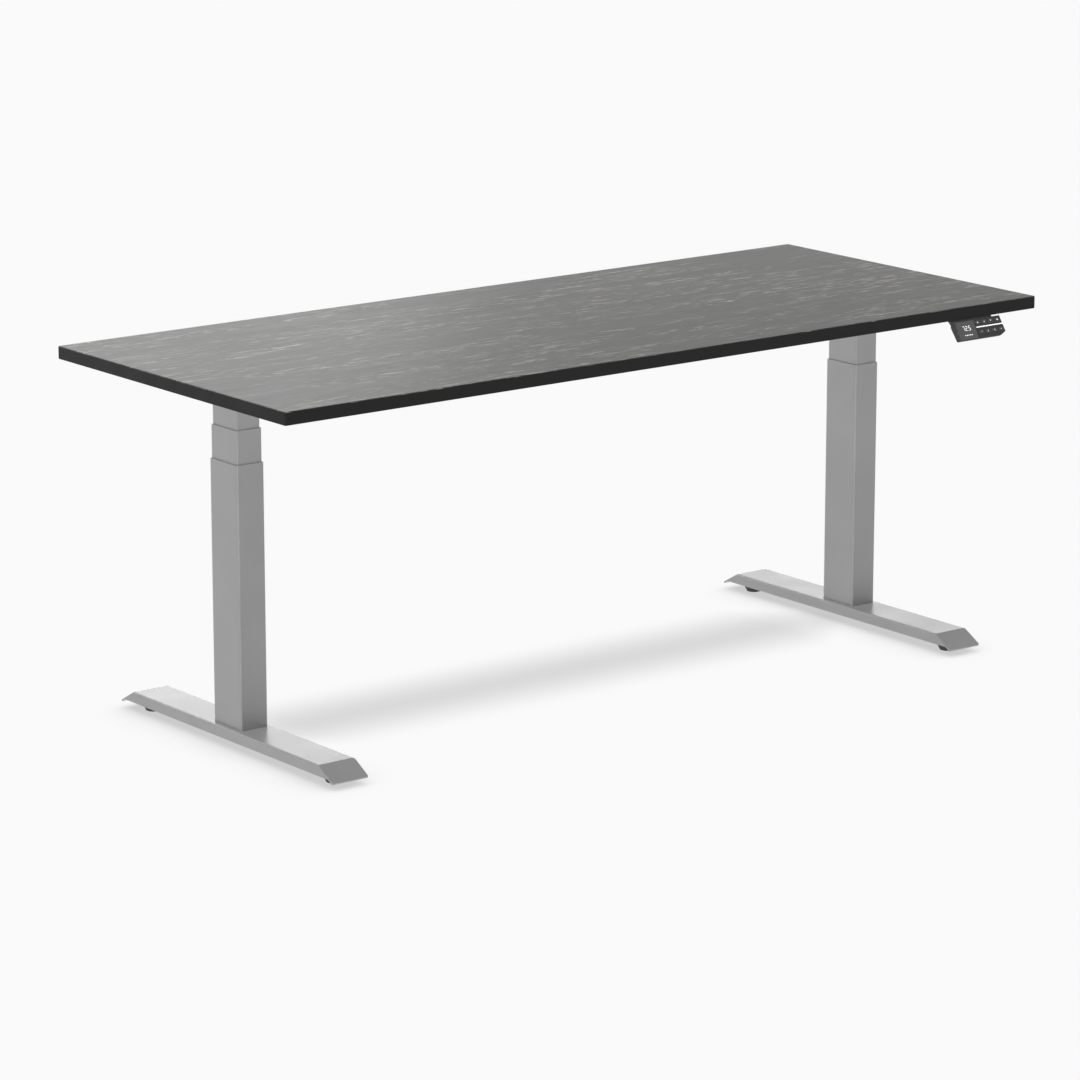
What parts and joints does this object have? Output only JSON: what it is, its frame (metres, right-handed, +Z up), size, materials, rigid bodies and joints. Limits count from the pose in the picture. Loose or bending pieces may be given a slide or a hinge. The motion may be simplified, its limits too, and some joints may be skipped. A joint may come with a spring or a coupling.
{
  "type": "height adjustable standing desk",
  "caption": "Electric standing desk: a dark bamboo top on a silver-grey frame of telescopic columns with flat feet, and a keypad under the front edge.",
  "frame": {"origin": "on the floor, midway between the two columns", "axes": "+X along the desktop to the user's right, +Y away from the user towards the rear edge, +Z up"},
  "size_m": [1.8, 0.7703, 0.716],
  "materials": {
    "frame_paint": "satin silver-grey powder coat",
    "steel": "bright zinc plate",
    "nylon": "natural nylon",
    "bamboo": "charcoal-stained strand bamboo, satin lacquer",
    "cast_alloy": "as cast",
    "motor_paint": "black enamel",
    "lead_jacket": "matte PVC jacket",
    "pad_rubber": "matte black",
    "handset_panel": "satin dark grey panel",
    "black_plastic": "fine-textured ABS"
  },
  "bodies": {
    "base": {"left_foot": "frame_paint", "right_foot": "frame_paint", "left_outer_tube": "frame_paint", "right_outer_tube": "frame_paint", "left_fixed_screw": "steel", "right_fixed_screw": "steel", "left_outer_liner": "nylon", "right_outer_liner": "nylon", "foot_bolts": "steel", "glide_nuts": "steel"},
    "left_middle": {"left_middle_tube": "frame_paint", "left_middle_liner": "nylon", "left_spindle_carrier": "nylon"},
    "right_middle": {"right_middle_tube": "frame_paint", "right_middle_liner": "nylon", "right_spindle_carrier": "nylon"},
    "top": {"left_inner_tube": "frame_paint", "right_inner_tube": "frame_paint", "left_spindle_nut": "nylon", "right_spindle_nut": "nylon", "left_gearbox": "cast_alloy", "right_gearbox": "cast_alloy", "left_motor": "motor_paint", "right_motor": "motor_paint", "left_arm": "frame_paint", "right_arm": "frame_paint", "left_front_end_rail": "frame_paint", "left_rear_end_rail": "frame_paint", "right_front_end_rail": "frame_paint", "right_rear_end_rail": "frame_paint", "front_centre_rail": "frame_paint", "rear_centre_rail": "frame_paint", "frame_bolts": "steel", "desktop_screws": "steel", "desktop": "bamboo", "control_box_base": "black_plastic", "control_box_lid": "black_plastic", "mains_inlet": "black_plastic", "left_motor_lead": "lead_jacket", "right_motor_lead": "lead_jacket", "handset_lead": "lead_jacket", "cable_clips": "black_plastic", "handset_case": "black_plastic", "display_window": "handset_panel"},
    "left_front_glide": {"left_front_glide": "pad_rubber"},
    "left_rear_glide": {"left_rear_glide": "pad_rubber"},
    "right_front_glide": {"right_front_glide": "pad_rubber"},
    "right_rear_glide": {"right_rear_glide": "pad_rubber"},
    "key_1": {"key_1": "handset_panel"},
    "key_2": {"key_2": "handset_panel"},
    "key_3": {"key_3": "handset_panel"},
    "key_4": {"key_4": "handset_panel"},
    "key_5": {"key_5": "handset_panel"},
    "key_6": {"key_6": "handset_panel"},
    "key_7": {"key_7": "handset_panel"},
    "key_8": {"key_8": "handset_panel"},
    "left_spindle_body": {"left_spindle": "steel"},
    "right_spindle_body": {"right_spindle": "steel"},
    "left_drive_tube_body": {"left_drive_tube": "steel"},
    "right_drive_tube_body": {"right_drive_tube": "steel"}
  },
  "joints": [
    {"name": "lift", "type": "slide", "parent": "base", "child": "top", "axis": [0, 0, 1], "range_m": [-0.1, 0.535]},
    {"name": "left_middle_slide", "type": "slide", "parent": "base", "child": "left_middle", "axis": [0, 0, 1], "range_m": [-0.05, 0.2675]},
    {"name": "left_spindle_turn", "type": "hinge", "parent": "left_middle", "child": "left_spindle_body", "pos_m": [-0.7525, 0, 0.3], "axis": [0, 0, 1], "range_deg": [-3000, 16050]},
    {"name": "left_drive_turn", "type": "hinge", "parent": "top", "child": "left_drive_tube_body", "pos_m": [-0.7525, 0, 0.5], "axis": [0, 0, 1], "range_deg": [-3000, 16050]},
    {"name": "right_middle_slide", "type": "slide", "parent": "base", "child": "right_middle", "axis": [0, 0, 1], "range_m": [-0.05, 0.2675]},
    {"name": "right_spindle_turn", "type": "hinge", "parent": "right_middle", "child": "right_spindle_body", "pos_m": [0.7525, 0, 0.3], "axis": [0, 0, 1], "range_deg": [-3000, 16050]},
    {"name": "right_drive_turn", "type": "hinge", "parent": "top", "child": "right_drive_tube_body", "pos_m": [0.7525, 0, 0.5], "axis": [0, 0, 1], "range_deg": [-3000, 16050]},
    {"name": "left_front_glide_screw", "type": "slide", "parent": "base", "child": "left_front_glide", "axis": [0, 0, 1], "range_m": [-0.008, 0]},
    {"name": "left_rear_glide_screw", "type": "slide", "parent": "base", "child": "left_rear_glide", "axis": [0, 0, 1], "range_m": [-0.008, 0]},
    {"name": "right_front_glide_screw", "type": "slide", "parent": "base", "child": "right_front_glide", "axis": [0, 0, 1], "range_m": [-0.008, 0]},
    {"name": "right_rear_glide_screw", "type": "slide", "parent": "base", "child": "right_rear_glide", "axis": [0, 0, 1], "range_m": [-0.008, 0]},
    {"name": "key_1_press", "type": "slide", "parent": "top", "child": "key_1", "axis": [0, 0.8829, -0.4695], "range_m": [0, 0.0006], "stiffness_N_per_m": 1500, "springref_m": -0.0003},
    {"name": "key_2_press", "type": "slide", "parent": "top", "child": "key_2", "axis": [0, 0.8829, -0.4695], "range_m": [0, 0.0006], "stiffness_N_per_m": 1500, "springref_m": -0.0003},
    {"name": "key_3_press", "type": "slide", "parent": "top", "child": "key_3", "axis": [0, 0.8829, -0.4695], "range_m": [0, 0.0006], "stiffness_N_per_m": 1500, "springref_m": -0.0003},
    {"name": "key_4_press", "type": "slide", "parent": "top", "child": "key_4", "axis": [0, 0.8829, -0.4695], "range_m": [0, 0.0006], "stiffness_N_per_m": 1500, "springref_m": -0.0003},
    {"name": "key_5_press", "type": "slide", "parent": "top", "child": "key_5", "axis": [0, 0.8829, -0.4695], "range_m": [0, 0.0006], "stiffness_N_per_m": 1500, "springref_m": -0.0003},
    {"name": "key_6_press", "type": "slide", "parent": "top", "child": "key_6", "axis": [0, 0.8829, -0.4695], "range_m": [0, 0.0006], "stiffness_N_per_m": 1500, "springref_m": -0.0003},
    {"name": "key_7_press", "type": "slide", "parent": "top", "child": "key_7", "axis": [0, 0.8829, -0.4695], "range_m": [0, 0.0006], "stiffness_N_per_m": 1500, "springref_m": -0.0003},
    {"name": "key_8_press", "type": "slide", "parent": "top", "child": "key_8", "axis": [0, 0.8829, -0.4695], "range_m": [0, 0.0006], "stiffness_N_per_m": 1500, "springref_m": -0.0003}
  ],
  "couplings": [
    {"joint": "left_middle_slide", "follows": "lift", "ratio": 0.5},
    {"joint": "left_spindle_turn", "follows": "lift", "rad_per_m": 523.6},
    {"joint": "left_drive_turn", "follows": "lift", "rad_per_m": 523.6},
    {"joint": "right_middle_slide", "follows": "lift", "ratio": 0.5},
    {"joint": "right_spindle_turn", "follows": "lift", "rad_per_m": 523.6},
    {"joint": "right_drive_turn", "follows": "lift", "rad_per_m": 523.6}
  ]
}
